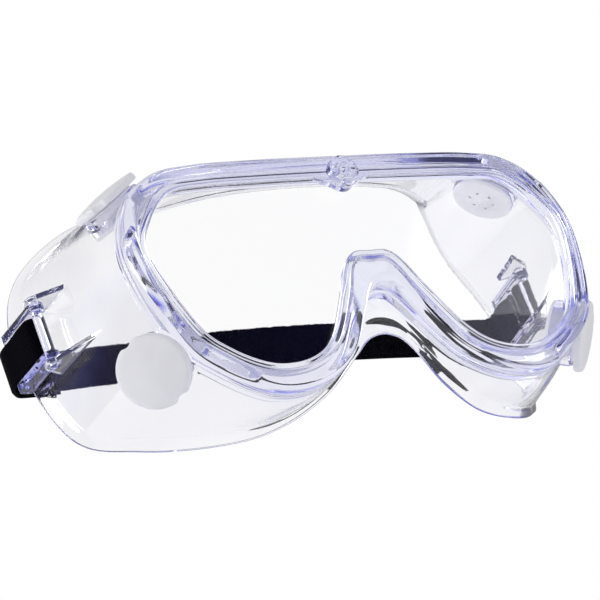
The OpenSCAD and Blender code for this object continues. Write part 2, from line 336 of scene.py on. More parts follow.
def zone(tree, coords, axis, off_at, full_at):
    """A mask that goes from 0 to 1 between two places (mm) along an axis."""
    split = add(tree, "ShaderNodeSeparateXYZ")
    link(tree, coords, "Object", split, 0)
    ramp = add(tree, "ShaderNodeMapRange")
    ramp.inputs["From Min"].default_value = off_at * MM
    ramp.inputs["From Max"].default_value = full_at * MM
    link(tree, split, axis, ramp, "Value")
    return ramp


def clear_material(name, tint, density, haze, roughness, ior, ripple, ripple_scale,
                   cloud=1.0, zone_color=None, zone_at=None):
    """Clear plastic: refracting surface, tinted depth, faint haze, soft ripple, and a painted edge
    glow.

    cloud is how much light a surface lets through in its cloudiest streaks. The
    zone colour, where there is one, shades the surface inside the zone.
    """
    mat, tree = nodes_for(name)
    out = add(tree, "ShaderNodeOutputMaterial")
    coords = add(tree, "ShaderNodeTexCoord")
    wave = add(tree, "ShaderNodeTexNoise", Scale=ripple_scale, Detail=2.0)
    grain = add(tree, "ShaderNodeTexNoise", Scale=GRAIN_SCALE, Detail=3.0)
    link(tree, coords, "Object", wave, "Vector")
    link(tree, coords, "Object", grain, "Vector")
    bump = add(tree, "ShaderNodeBump", Strength=ripple, Distance=0.001)
    link(tree, wave, "Fac", bump, "Height")
    fine = add(tree, "ShaderNodeBump", Strength=0.03, Distance=0.0002)
    link(tree, grain, "Fac", fine, "Height")
    link(tree, bump, "Normal", fine, "Normal")
    rough = add(tree, "ShaderNodeMapRange")
    rough.inputs["To Min"].default_value = roughness * 0.6
    rough.inputs["To Max"].default_value = roughness * 1.6
    link(tree, wave, "Fac", rough, "Value")
    glass = add(tree, "ShaderNodeBsdfPrincipled", IOR=ior)
    glass.inputs["Transmission Weight"].default_value = 1.0
    stretch = add(tree, "ShaderNodeMapping")
    stretch.inputs["Scale"].default_value = STREAK_STRETCH
    stretch.inputs["Rotation"].default_value = STREAK_TURN
    streaks = add(tree, "ShaderNodeTexNoise", Scale=STREAK_SCALE, Detail=2.0, Distortion=1.0)
    link(tree, coords, "Object", stretch, "Vector")
    link(tree, stretch, "Vector", streaks, "Vector")
    veil = add(tree, "ShaderNodeValToRGB")
    veil.color_ramp.elements[0].position = 0.4
    veil.color_ramp.elements[0].color = (cloud, cloud, min(1.0, cloud * 1.02), 1)
    veil.color_ramp.elements[1].position = 0.66
    veil.color_ramp.elements[1].color = WHITE
    link(tree, streaks, "Fac", veil, "Fac")
    shade_color = veil.outputs["Color"]
    if zone_color:
        blend = add(tree, "ShaderNodeMix", data_type="RGBA", blend_type="MULTIPLY")
        blend.inputs[7].default_value = (*zone_color, 1)
        link(tree, zone(tree, coords, *zone_at), 0, blend, 0)
        tree.links.new(shade_color, blend.inputs[6])
        shade_color = blend.outputs[2]
    # Only the first few surfaces take the shade, or trapped light would go black
    path = add(tree, "ShaderNodeLightPath")
    inner = add(tree, "ShaderNodeMath", operation="GREATER_THAN")
    inner.inputs[1].default_value = SHADED_BOUNCES
    link(tree, path, "Ray Depth", inner, 0)
    unshaded = add(tree, "ShaderNodeMix", data_type="RGBA")
    unshaded.inputs[7].default_value = WHITE
    link(tree, inner, 0, unshaded, 0)
    tree.links.new(shade_color, unshaded.inputs[6])
    link(tree, unshaded, 2, glass, "Base Color")
    link(tree, rough, "Result", glass, "Roughness")
    link(tree, fine, "Normal", glass, "Normal")
    milk = add(tree, "ShaderNodeBsdfTranslucent", Color=MILKY)
    haze_mix = add(tree, "ShaderNodeMixShader", Fac=haze)
    link(tree, glass, 0, haze_mix, 1)
    link(tree, milk, 0, haze_mix, 2)
    # Painted glow from no lamp, for light caught in thick edges: pale on the picture's left, blue
    # on its right
    painted_glow_on = add(tree, "ShaderNodeMath", operation="GREATER_THAN")
    painted_glow_on.inputs[1].default_value = PAINTED_GLOW_BOUNCES
    link(tree, path, "Ray Depth", painted_glow_on, 0)
    across = add(tree, "ShaderNodeSeparateXYZ")
    link(tree, coords, "Camera", across, 0)
    side = add(tree, "ShaderNodeMapRange")
    side.inputs["From Min"].default_value = PALE_TO
    side.inputs["From Max"].default_value = BLUE_FROM
    link(tree, across, "X", side, "Value")
    edge_color = add(tree, "ShaderNodeMix", data_type="RGBA")
    edge_color.inputs[6].default_value = PAINTED_GLOW_PALE
    edge_color.inputs[7].default_value = PAINTED_GLOW_BLUE
    link(tree, side, "Result", edge_color, 0)
    # Behind the front, at the ears and buckles, the painted glow turns nearly black: painted shade
    by_depth = add(tree, "ShaderNodeMix", data_type="RGBA")
    by_depth.inputs[6].default_value = PAINTED_GLOW_DARK
    link(tree, zone(tree, coords, *FRONT_ZONE), 0, by_depth, 0)
    link(tree, edge_color, 2, by_depth, 7)
    painted_edge_glow = add(tree, "ShaderNodeEmission")
    link(tree, by_depth, 2, painted_edge_glow, "Color")
    edge_mix = add(tree, "ShaderNodeMixShader")
    link(tree, painted_glow_on, 0, edge_mix, 0)
    link(tree, haze_mix, 0, edge_mix, 1)
    link(tree, painted_edge_glow, 0, edge_mix, 2)
    # Light for shadows and soft bounces passes straight through
    either = add(tree, "ShaderNodeMath", operation="MAXIMUM")
    link(tree, path, "Is Shadow Ray", either, 0)
    link(tree, path, "Is Diffuse Ray", either, 1)
    through = add(tree, "ShaderNodeBsdfTransparent", Color=PASSING_LIGHT)
    pass_mix = add(tree, "ShaderNodeMixShader")
    link(tree, either, 0, pass_mix, 0)
    link(tree, edge_mix, 0, pass_mix, 1)
    link(tree, through, 0, pass_mix, 2)
    link(tree, pass_mix, 0, out, "Surface")
    depth = add(tree, "ShaderNodeVolumeAbsorption", Color=(*tint, 1), Density=density)
    link(tree, depth, 0, out, "Volume")
    return mat


def white_material(name, color, roughness, bump_strength):
    """Satin white moulded plastic with faint flow marks and fine grain."""
    mat, tree = nodes_for(name)
    out = add(tree, "ShaderNodeOutputMaterial")
    coords = add(tree, "ShaderNodeTexCoord")
    flow = add(tree, "ShaderNodeTexNoise", Scale=60.0, Detail=3.0, Distortion=1.2)
    grain = add(tree, "ShaderNodeTexNoise", Scale=2600.0, Detail=4.0)
    link(tree, coords, "Object", flow, "Vector")
    link(tree, coords, "Object", grain, "Vector")
    ramp = add(tree, "ShaderNodeValToRGB")
    ramp.color_ramp.elements[0].position = 0.3
    ramp.color_ramp.elements[0].color = (*[c * 0.95 for c in color], 1)
    ramp.color_ramp.elements[1].position = 0.7
    ramp.color_ramp.elements[1].color = (*color, 1)
    link(tree, flow, "Fac", ramp, "Fac")
    bump = add(tree, "ShaderNodeBump", Strength=bump_strength, Distance=0.0001)
    link(tree, grain, "Fac", bump, "Height")
    shader = add(tree, "ShaderNodeBsdfPrincipled", Roughness=roughness, IOR=1.5)
    shader.inputs["Subsurface Weight"].default_value = 0.25
    shader.inputs["Subsurface Radius"].default_value = (0.9, 0.8, 1.0)
    shader.inputs["Subsurface Scale"].default_value = 0.0015
    link(tree, ramp, "Color", shader, "Base Color")
    link(tree, bump, "Normal", shader, "Normal")
    link(tree, shader, 0, out, "Surface")
    return mat


WARP_PER_MM, WEFT_PER_MM = 0.62, 0.95
# Strap colours for the weave's hollows and crests: painted shade and light
STRAP_DARK, STRAP_LIGHT = (0.0006, 0.0005, 0.0012, 1), (0.003, 0.0025, 0.006, 1)


def strap_material(name):
    """Black woven elastic: warp and weft bump, fibre sheen, faint violet cast, and painted shade
    in the weave's hollows.
    """
    mat, tree = nodes_for(name)
    out = add(tree, "ShaderNodeOutputMaterial")
    uv = add(tree, "ShaderNodeUVMap", uv_map="weave")
    split = add(tree, "ShaderNodeSeparateXYZ")
    link(tree, uv, "UV", split, 0)

    def wave(axis, per_mm, shift_from=None):
        scaled = add(tree, "ShaderNodeMath", operation="MULTIPLY")
        scaled.inputs[1].default_value = 2 * math.pi * per_mm
        link(tree, split, axis, scaled, 0)
        last = scaled
        if shift_from is not None:
            total = add(tree, "ShaderNodeMath", operation="ADD")
            link(tree, scaled, 0, total, 0)
            link(tree, shift_from, 0, total, 1)
            last = total
        sine = add(tree, "ShaderNodeMath", operation="SINE")
        link(tree, last, 0, sine, 0)
        return sine, scaled

    across, across_angle = wave("Y", WARP_PER_MM)
    half = add(tree, "ShaderNodeMath", operation="MULTIPLY")
    half.inputs[1].default_value = 0.5
    link(tree, across_angle, 0, half, 0)
    along, _ = wave("X", WEFT_PER_MM, half)
    woven = add(tree, "ShaderNodeMath", operation="MULTIPLY")
    link(tree, across, 0, woven, 0)
    link(tree, along, 0, woven, 1)
    coords = add(tree, "ShaderNodeTexCoord")
    fibre = add(tree, "ShaderNodeTexNoise", Scale=2200.0, Detail=5.0)
    link(tree, coords, "Object", fibre, "Vector")
    height = add(tree, "ShaderNodeMath", operation="MULTIPLY_ADD")
    height.inputs[1].default_value = 0.5
    link(tree, woven, 0, height, 0)
    link(tree, fibre, "Fac", height, 2)
    bump = add(tree, "ShaderNodeBump", Strength=0.8, Distance=0.00025)
    link(tree, height, 0, bump, "Height")
    # Base colour follows the weave's height, darker in its hollows: painted shade; the fibre noise
    # adds random tone
    ramp = add(tree, "ShaderNodeValToRGB")
    ramp.color_ramp.elements[0].position = 0.2
    ramp.color_ramp.elements[0].color = STRAP_DARK
    ramp.color_ramp.elements[1].position = 0.95
    ramp.color_ramp.elements[1].color = STRAP_LIGHT
    link(tree, height, 0, ramp, "Fac")
    shader = add(tree, "ShaderNodeBsdfPrincipled", Roughness=0.72)
    shader.inputs["Sheen Weight"].default_value = 0.004
    shader.inputs["Sheen Roughness"].default_value = 0.5
    shader.inputs["Sheen Tint"].default_value = (0.6, 0.56, 0.8, 1)
    shader.inputs["Specular IOR Level"].default_value = 0.03
    link(tree, ramp, "Color", shader, "Base Color")
    link(tree, bump, "Normal", shader, "Normal")
    link(tree, shader, 0, out, "Surface")
    return mat


def dress(obj, material):
    obj.data.materials.clear()
    obj.data.materials.append(material)


# name, tint, density, haze, roughness, ior, ripple, ripple scale, cloud, zone
CLEAR_PVC = clear_material("clear_pvc", (0.38, 0.38, 0.8), 20.0, 0.008, 0.03, 1.5, 0.2, 45.0,
                           0.92, (0.96, 0.97, 1.0), RIM_ZONE)
CLEAR_LENS = clear_material("clear_lens", (0.85, 0.92, 1.0), 10.0, 0.0, 0.008, 1.3, 0.02, 20.0)
CLEAR_STUD = clear_material("clear_stud", (0.5, 0.5, 0.95), 30.0, 0.01, 0.02, 1.5, 0.1, 90.0)
CLEAR_BUCKLE = clear_material("clear_buckle", (0.25, 0.27, 0.9), 50.0, 0.01, 0.03, 1.5, 0.3, 80.0,
                              1.0, (0.55, 0.55, 1.0), BUCKLE_FOOT_ZONE)
CAP_WHITE = white_material("cap_white", (0.86, 0.86, 0.885), 0.42, 0.25)
# The bases' white is brighter than the caps' to make up for the shade inside the frame: partly
# their own white, partly painted light
BASE_WHITE = white_material("base_white", (0.96, 0.96, 0.98), 0.5, 0.3)
STRAP_BLACK = strap_material("strap_black")


# ------------------------------------------------------------- frame outline
def station(i):
    k = i % (2 * HALF)
    if k <= HALF:
        return HALF_OUTLINE[k]
    return tuple((-p[0], *p[1:]) for p in HALF_OUTLINE[2 * HALF - k])


def along(part, u):
    """A point of one outline at loop position u, on a smooth curve."""
    i = math.floor(u)
    t = u - i
    a, b, c, d = (Vector(station(i + k)[part]) for k in (-1, 0, 1, 2))
    return 0.5 * (2 * b + (c - a) * t + (2 * a - 5 * b + 4 * c - d) * t * t
                  + (3 * b - a - 3 * c + d) * t ** 3)


def front_y(x):
    return FRONT_RADIUS - math.sqrt(FRONT_RADIUS ** 2 - x * x)


def on_front(p, back=0.0):
    return Vector((p[0], front_y(p[0]) + back, p[1]))


def reach_out(edge, rim, reach):
    """A point in the curved front, at a reach outward from the window edge."""
    return edge + (rim - edge).normalized() * reach


def smoothstep(low, high, value):
    t = min(1.0, max(0.0, (value - low) / (high - low)))
    return t * t * (3 - 2 * t)


# The outer rib is taller down each side of the frame, between two stations
SIDE_RIB_FROM, SIDE_RIB_TO = 3.9, 7.55
SIDE_RIB_RISE = 0.75
SIDE_RIB_END = 0.1


def side_rib(u):
    v = u if u <= HALF else 2 * HALF - u
    rise = smoothstep(SIDE_RIB_FROM, SIDE_RIB_FROM + SIDE_RIB_END, v)
    fall = 1 - smoothstep(SIDE_RIB_TO, SIDE_RIB_TO + SIDE_RIB_END, v)
    return SIDE_RIB_RISE * rise * fall


def frame_section(u):
    """One closed section of the frame: front of the rim, skirt, lip and back."""
    edge, rim = along(WINDOW, u), along(RIM, u)
    inner = on_front(edge)
    outer = on_front(rim, OUTER_SET_BACK)
    face = along(FACE, u)
    y = Vector((0, 1, 0))
    a = (outer - inner).normalized()
    w = (outer - inner).length
    back = (face - outer).normalized()
    b = (0.65 * y + 0.35 * back).normalized()
    start = outer + b * RIM_DEPTH - a * SKIRT_STEP
    run = (face - start).normalized()
    side = a - b
    out = (side - side.dot(run) * run).normalized()
    lip = (0.35 * out + run).normalized()
    knee = face - LIP_WIDTH * lip
    middle = 0.5 * (start + knee) + SKIRT_BULGE * out
    inner_start = start - SKIRT_WALL * out + 0.4 * run
    rib = RIB_RISE + side_rib(u)
    corners = [
        (inner + y * 0.7, 0.4),
        (inner + a * 0.6, 0.4),
        (inner + a * BEAD_WIDTH - y * 0.05, 0.3),
        (inner + a * (BEAD_WIDTH + 0.5) - y * RIB_RISE, 0.3),
        (inner + a * (w - 3.6) - y * RIB_RISE, 0.5),
        (inner + a * (w - 3.1) - y * rib, 0.4),
        (inner + a * (w - 1.7) - y * rib, 0.9),
        (inner + a * (w - 0.4) - y * 0.1, 0.7),
        (outer + b * 1.4, 0.6),
        (outer + b * 3.0, 0.3),
        (outer + b * 3.3 - a * 0.3, 0.2),
        (outer + b * 4.2 - a * 0.3, 0.2),
        (outer + b * 4.5, 0.3),
        (outer + b * (RIM_DEPTH - 0.6), 0.5),
        (start, 0.5),
        (middle, 18.0),
        (knee, 1.6),
        (face, 0.7),
        (face - 1.2 * out, 0.5),
        (knee - SKIRT_WALL * out, 1.6),
        (middle - SKIRT_WALL * out, 18.0),
        (inner_start, 0.8),
        (inner + a * (GROOVE_DEPTH + 1.6) + y * RIM_DEPTH, 0.8),
        (inner + a * 1.2 + y * (RIM_DEPTH - 0.6), 0.6),
        (on_front(reach_out(edge, rim, 0.6), LENS_REAR), 0.25),
        (on_front(reach_out(edge, rim, GROOVE_DEPTH), LENS_REAR), 0.0),
        (on_front(reach_out(edge, rim, GROOVE_DEPTH), LENS_FRONT), 0.0),
        (inner + y * LENS_FRONT, 0.35),
    ]
    return round_corners([c[0] for c in corners], [c[1] for c in corners])


# -------------------------------------------------------------- vents
LOWER_VENT = Vector((73.6, 17.1, -20.8))
UPPER_VENT = Vector((66.8, 20.5, 37.1))
LOWER_SEAT, UPPER_SEAT = 7.5, 5.5
CAP_RADIUS = 11.0
CAP_TRAVEL = JOINTS["cap_lower_right_slide"]["range_m"][1] / MM
VENT_BORE = 7.0
VENT_BOSS = 9.6
POST_RADIUS = 1.8
BARB_RADIUS = 2.25
BARB_FROM = 1.0 + CAP_TRAVEL
BARB_TO = BARB_FROM + 0.8
CAP_TOP = BARB_TO + 1.1
CAP_UNDER = 0.95
BASE_FLANGE = 9.4
AIR_HOLES, AIR_HOLE_RADIUS, AIR_HOLE_RING = 6, 0.5, 3.8
# Clear room round the base's flange and the cap, and its reach along the axis
FLANGE_ROOM, CAP_ROOM, ROOM_REACH = 0.6, 1.2, 9
SCALLOP_RADIUS, SCALLOP_DEPTH, SCALLOP_TURN = 3.9, 0.9, math.radians(-17)


def vent_place(level):
    """Placement of the right vent of a level, its axis from the joint."""
    direction = JOINTS["cap_" + level + "_right_slide"]["axis"]
    return facing(LOWER_VENT if level == "lower" else UPPER_VENT, direction)


def vent_solids(place, seat):
    """The turret to add to the frame and the openings to cut from it."""
    turret = lathe("turret", [
        (0, -seat), (VENT_BOSS, -seat), (VENT_BOSS + 0.1, -2.4), (VENT_BOSS, -0.5),
        (VENT_BOSS - 0.5, 0), (0, 0)], place, 72)
    inside, around = BASE_FLANGE + FLANGE_ROOM, CAP_RADIUS + CAP_ROOM
    room = lathe("room", [
        (0, -seat - ROOM_REACH), (inside, -seat - ROOM_REACH), (inside, -seat), (VENT_BORE, -seat),
        (VENT_BORE, 0), (around, 0), (around, ROOM_REACH), (0, ROOM_REACH)], place, 72)
    return turret, room


def cap_radius(r, a):
    """The cap's edge dips in at two opposite places, for a fingernail."""
    if r < CAP_RADIUS - 0.95:
        return r
    centre = CAP_RADIUS - SCALLOP_DEPTH + SCALLOP_RADIUS
    off = (a - SCALLOP_TURN + math.pi / 2) % math.pi - math.pi / 2
    under = SCALLOP_RADIUS ** 2 - (centre * math.sin(off)) ** 2
    if under <= 0:
        return r
    scallop = centre * math.cos(off) - math.sqrt(under)
    return min(r, max(CAP_RADIUS - 0.95, scallop - 0.6 * (CAP_RADIUS - r)))


def build_cap(name, place):
    wall, dome, edge = 1.1, 0.9, 0.25
    skirt = CAP_RADIUS - 1.4
    crown_radius = CAP_RADIUS - edge
    crown = [(crown_radius * (1 - t), CAP_TOP - dome + dome * math.sin(t * math.pi / 2))
             for t in [k / 14 for k in range(2, 15)]]
    profile = [
        (POST_RADIUS + 0.08, 0.2), (3.1, 0.2), (3.4, 0.45), (3.4, CAP_TOP - wall),
        (skirt, CAP_TOP - wall - dome), (skirt, CAP_UNDER + 0.1),
        (skirt + 0.1, CAP_UNDER), (CAP_RADIUS - edge, CAP_UNDER),
        (CAP_RADIUS, CAP_UNDER + 0.3), (CAP_RADIUS, CAP_TOP - dome - 0.75),
        (CAP_RADIUS - 0.12, CAP_TOP - dome - 0.35), (CAP_RADIUS - 0.45, CAP_TOP - dome - 0.02),
    ] + crown + [
        (0, BARB_TO + 0.15), (BARB_RADIUS + 0.1, BARB_TO + 0.15),
        (BARB_RADIUS + 0.1, 1.0), (POST_RADIUS + 0.08, 1.0),
    ]
    return lathe(name, profile, place, 192, cap_radius, 40.0)


def build_base(name, place, seat):
    """A tube closed by a plate with six air holes, and a barbed post."""
    tube = VENT_BORE - 0.05
    wall, thick = 1.3, 1.2
    plate = seat + thick
    ring = lathe(name, [
        (0, -plate - 0.25), (1.3, -plate - 0.25), (1.7, -plate),
        (BASE_FLANGE - 0.35, -plate), (BASE_FLANGE, -plate + 0.35), (BASE_FLANGE, -seat - 0.02),
        (tube, -seat - 0.02), (tube, 0.02), (7.9, 0.02), (8.0, 0.2), (7.6, 0.8),
        (tube - wall, 0.8), (tube - wall, -seat), (POST_RADIUS, -seat), (POST_RADIUS, BARB_FROM),
        (BARB_RADIUS, BARB_FROM + 0.02), (POST_RADIUS, BARB_TO), (0, BARB_TO)], place, 96)
    holes = []
    low, high = -plate - 1, -seat + 1
    for k in range(AIR_HOLES):
        turn = Matrix.Rotation(2 * math.pi * k / AIR_HOLES, 4, "Z")
        spin = place @ turn @ Matrix.Translation((AIR_HOLE_RING, 0, 0))
        holes.append(lathe("air_hole", [
            (0, low), (AIR_HOLE_RADIUS, low), (AIR_HOLE_RADIUS, high), (0, high)], spin, 24))
    combine(ring, holes, "DIFFERENCE")
    shade(ring, 35.0)
    return ring


# ------------------------------------------------- stud boss, ears, frame
STUD_Z = 30.9
STUD_RADIUS = 1.5
STUD_BACK = 5.2
HEAD_RADIUS = 2.0
HEAD_DEPTH = 0.8
BOSS_RADIUS = 4.8
BOSS_FRONT = -2.9
BOSS_BACK = LENS_FRONT - 0.2
TAB_RADIUS = 3.0
LOBE_RADIUS = 5.2
LOBE_FRONT = 0.15
FLARE_HALF = 9.5
FLARE_TOP = 30.0
FLARE_FOOT = (2.4, STUD_Z - 4.3)
FRONTWARD = Vector((0, -1, 0))


def boss_solids():
    """The raised disc on its flared lobe, and the room for tab, stud and head."""
    at = facing((0, 0, STUD_Z), FRONTWARD)
    front = -BOSS_FRONT
    disc = lathe("disc", [
        (0, -BOSS_BACK), (BOSS_RADIUS, -BOSS_BACK), (BOSS_RADIUS, front - 0.4),
        (BOSS_RADIUS - 0.4, front), (BOSS_RADIUS - 0.9, front), (BOSS_RADIUS - 1.15, front - 0.25),
        (HEAD_RADIUS + 0.75, front - 0.25), (HEAD_RADIUS + 0.5, front), (0, front)], at, 72)
    lobe = lathe("lobe", [
        (0, -BOSS_BACK), (LOBE_RADIUS, -BOSS_BACK), (LOBE_RADIUS, -LOBE_FRONT - 0.3),
        (LOBE_RADIUS - 0.3, -LOBE_FRONT), (0, -LOBE_FRONT)], at, 72)
    foot_half, foot = FLARE_FOOT
    flare = prism("flare", [
        (-FLARE_HALF, -FLARE_TOP), (-FLARE_HALF, -FLARE_TOP - 1.5), (FLARE_HALF, -FLARE_TOP - 1.5),
        (FLARE_HALF, -FLARE_TOP), (foot_half, -foot), (-foot_half, -foot)],
        LOBE_FRONT, BOSS_BACK, 0.2, Matrix.Rotation(math.radians(-90), 4, "X"))
    tab = TAB_RADIUS + 0.15
    pocket = lathe("pocket", [
        (0, -LENS_REAR), (tab, -LENS_REAR), (tab, -LENS_FRONT), (0, -LENS_FRONT)], at, 48)
    bore, room = STUD_RADIUS + 0.05, HEAD_RADIUS + 0.1
    hole = lathe("hole", [
        (0, -STUD_BACK - 0.2), (bore, -STUD_BACK - 0.2), (bore, front - HEAD_DEPTH),
        (room, front - HEAD_DEPTH), (room, front + 1), (0, front + 1)], at, 48)
    return [disc, lobe, flare], [pocket, hole]


PIVOT = Vector(JOINTS["buckle_right_swivel"]["pos_m"]) / MM
BUCKLE_TILT = 5.4
BUCKLE_LENGTH = 18.5
BUCKLE_THICK = 5.2
BLOCK_HEIGHT = 2.6
STRAP_WIDTH = 13.0
STRAP_THICK = 1.3
INNER_HEIGHT = STRAP_WIDTH + 0.8
BUCKLE_HEIGHT = INNER_HEIGHT + 2 * BLOCK_HEIGHT
EAR_GAP, EAR_THICK = 0.2, 1.6
TRUNNION_RADIUS = 1.5
EAR_OUTLINE = [(0.8, -3.2), (2.3, -2.0), (2.9, 0), (2.3, 1.9), (0.6, 3), (-2.6, 4.6)]
# Root and forward reach of the lower and the upper ear
EAR_LOW, EAR_HIGH = (0.0, 16.0), (1.0, 9.0)


def ear_solids():
    """Two ears per side that hold a buckle's trunnions, and their bores."""
    ears, bores = [], []
    for low, (root, reach) in ((-BUCKLE_HEIGHT / 2 - EAR_GAP - EAR_THICK, EAR_LOW),
                               (BUCKLE_HEIGHT / 2 + EAR_GAP, EAR_HIGH)):
        heel = -5.6 - root
        outline = [(heel, 6), (heel - 0.19 * reach, -reach), (-7.2, 0.5 - reach)] + EAR_OUTLINE
        place = Matrix.Translation(PIVOT)
        ears.append(prism("ear", outline, low, low + EAR_THICK, 0.3, place))
        bores.append(lathe("bore", [
            (0, low - 1), (TRUNNION_RADIUS + 0.06, low - 1),
            (TRUNNION_RADIUS + 0.06, low + EAR_THICK + 1), (0, low + EAR_THICK + 1)], place, 32))
    return ears, bores


def build_frame():
    count = 2 * HALF * RINGS_PER_STEP
    rings = [frame_section(k / RINGS_PER_STEP) for k in range(count)]
    body = loft("goggle_frame", rings)
    adds, cuts = boss_solids()
    for level, seat in (("lower", LOWER_SEAT), ("upper", UPPER_SEAT)):
        turret, room = vent_solids(vent_place(level), seat)
        adds += [turret, mirrored(turret, "turret_left")]
        cuts += [room, mirrored(room, "room_left")]
    ears, bores = ear_solids()
    for ear in ears:
        adds += [ear, mirrored(ear, "ear_left")]
    for bore in bores:
        cuts += [bore, mirrored(bore, "bore_left")]
    combine(body, adds, "UNION")
    combine(body, cuts, "DIFFERENCE")
    shade(body, 32.0)
    even_normals(body)
    dress(body, CLEAR_PVC)
    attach(body, "frame")
    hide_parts("frame_body")
    return body


# ------------------------------------------------------------------- lens
# The sheet is cut every few mm each side of the middle, so that it can bend
LENS_CUT_STEP, LENS_CUTS = 4, 19


def build_lens():
    """A thin sheet bent to the front's radius, with its locating tab."""
    count = 2 * HALF * RINGS_PER_STEP
    outline = []
    for k in range(count):
        u = k / RINGS_PER_STEP
        outline.append(reach_out(along(WINDOW, u), along(RIM, u), GROOVE_DEPTH - LENS_GAP))
    flat = prism("goggle_lens", [(p[0], p[1]) for p in outline], 0, 20,
                 place=Matrix.Rotation(math.radians(90), 4, "X") @ Matrix.Translation((0, 0, -15)))
    tab = lathe("tab", [(0, -15), (TAB_RADIUS, -15), (TAB_RADIUS, 5), (0, 5)],
                facing((0, 0, STUD_Z), FRONTWARD), 64)
    combine(flat, [tab], "UNION")
    bore = STUD_RADIUS + 0.05
    hole = lathe("tab_hole", [(0, -30), (bore, -30), (bore, 30), (0, 30)],
                 facing((0, 0, STUD_Z), FRONTWARD), 48)
    combine(flat, [hole], "DIFFERENCE")
    bm = bmesh.new()
    bm.from_mesh(flat.data)
    step = LENS_CUT_STEP * MM
    for k in range(-LENS_CUTS, LENS_CUTS + 1):
        geom = bm.verts[:] + bm.edges[:] + bm.faces[:]
        bmesh.ops.bisect_plane(bm, geom=geom, plane_co=(k * step, 0, 0), plane_no=(1, 0, 0))
    front = LENS_FRONT + LENS_GAP
    middle = sum(v.co.y for v in bm.verts) / len(bm.verts)
    for v in bm.verts:
        sheet = front if v.co.y < middle else front + LENS_THICK
        v.co.y = (front_y(v.co.x / MM) + sheet) * MM
    bmesh.ops.triangulate(bm, faces=[f for f in bm.faces if len(f.verts) > 4])
    bmesh.ops.recalc_face_normals(bm, faces=bm.faces)
    bm.to_mesh(flat.data)
    bm.free()
    shade(flat, 30.0)
    dress(flat, CLEAR_LENS)
    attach(flat, "frame")
    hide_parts("lens")
    return flat


def build_stud():
    at = facing((0, 0, STUD_Z), FRONTWARD)
    top = -BOSS_FRONT - 0.1
    low = top - HEAD_DEPTH + 0.15
    stud = lathe("lens_stud_pin", [
        (0, -STUD_BACK), (STUD_RADIUS - 0.25, -STUD_BACK), (STUD_RADIUS, -STUD_BACK + 0.25),
        (STUD_RADIUS, low), (HEAD_RADIUS, low), (HEAD_RADIUS, top - 0.25),
        (HEAD_RADIUS - 0.25, top), (1.0, top), (0.75, top - 0.25), (0, top - 0.25)], at, 64)
    dress(stud, CLEAR_STUD)
    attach(stud, "frame")
    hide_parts("lens_stud")


# ------------------------------------------------------------------ vents
def build_vents():
    for level, seat in (("lower", LOWER_SEAT), ("upper", UPPER_SEAT)):
        place = vent_place(level)
        cap = build_cap("vent_cap_" + level + "_right_disc", place)
        base = build_base("vent_base_" + level + "_right_ring", place, seat)
        pairs = (("right", cap, base),
                 ("left", mirrored(cap, "vent_cap_" + level + "_left_disc"),
                  mirrored(base, "vent_base_" + level + "_left_ring")))
        for hand, cap_piece, base_piece in pairs:
            dress(cap_piece, CAP_WHITE)
            dress(base_piece, BASE_WHITE)
            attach(cap_piece, "cap_" + level + "_" + hand)
            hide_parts("vent_cap_" + level + "_" + hand)
            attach(base_piece, "frame")
            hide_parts("vent_base_" + level + "_" + hand)


# ---------------------------------------------------------------- buckles
FRONT_BAR_RADIUS = 1.7
WRAP_BAR, WRAP_BAR_RADIUS = (0.4, 4.4), 1.1
KEEPER_BAR, KEEPER_BAR_RADIUS = (-1.45, 7.9), 1.05
REAR_BAR, REAR_BAR_RADIUS = (0.0, BUCKLE_LENGTH - 2.5), 1.1


def rod(name, x, y, radius, half_height, place, segments=40):
    edge = min(0.35, radius * 0.3)
    return lathe(name, [
        (0, -half_height), (radius - edge, -half_height), (radius, -half_height + edge),
        (radius, half_height - edge), (radius - edge, half_height), (0, half_height)],
        place @ Matrix.Translation((x, y, 0)), segments)


def build_buckle():
    place = Matrix.Translation(PIVOT) @ Matrix.Rotation(math.radians(-BUCKLE_TILT), 4, "Z")
    nose = BUCKLE_THICK / 2
    arc = [(nose * math.cos(t), nose * math.sin(t)) for t in
           [math.pi + math.pi * k / 12 for k in range(13)]]
    outline = arc + [(nose, BUCKLE_LENGTH - 1.5), (nose - 1.2, BUCKLE_LENGTH),
                     (-nose + 0.6, BUCKLE_LENGTH), (-nose, BUCKLE_LENGTH - 1)]
    low = -BUCKLE_HEIGHT / 2
    body = prism("strap_buckle_right", outline, INNER_HEIGHT / 2, BUCKLE_HEIGHT / 2, 0.35, place)
    parts = [prism("block", outline, low, -INNER_HEIGHT / 2, 0.35, place)]
    for bar, radius in (((0.0, 0.0), FRONT_BAR_RADIUS), (WRAP_BAR, WRAP_BAR_RADIUS),
                        (KEEPER_BAR, KEEPER_BAR_RADIUS), (REAR_BAR, REAR_BAR_RADIUS)):
        parts.append(rod("bar", *bar, radius, BUCKLE_HEIGHT / 2 - 1, place))
    trunnion_half = BUCKLE_HEIGHT / 2 + EAR_GAP + EAR_THICK
    parts.append(rod("trunnion", 0, 0, TRUNNION_RADIUS, trunnion_half, place))
    combine(body, parts, "UNION")
    shade(body, 32.0)
    even_normals(body)
    pairs = (("right", body), ("left", mirrored(body, "strap_buckle_left")))
    for hand, piece in pairs:
        dress(piece, CLEAR_BUCKLE)
        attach(piece, "buckle_" + hand)
        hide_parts("buckle_" + hand)


# ------------------------------------------------------------------ strap
BAND_END = 72.0
BAND_RISE = 4.6
STRAP_BACK = 64.5
SEAM_X = 72.4
RIBS = 15
RIB_DIP = 0.09
SELVEDGE, SELVEDGE_DIP = 1.2, 0.02
PATH_STEP = 0.8


def band_y(x):
    return STRAP_BACK + BAND_RISE * (abs(x) / BAND_END) ** 2


def from_pivot(u, v):
    """A point of the plan, from its place across and along the buckle."""
    t = math.radians(BUCKLE_TILT)
    return Vector((PIVOT.x + u * math.cos(t) + v * math.sin(t),
                   PIVOT.y - u * math.sin(t) + v * math.cos(t)))


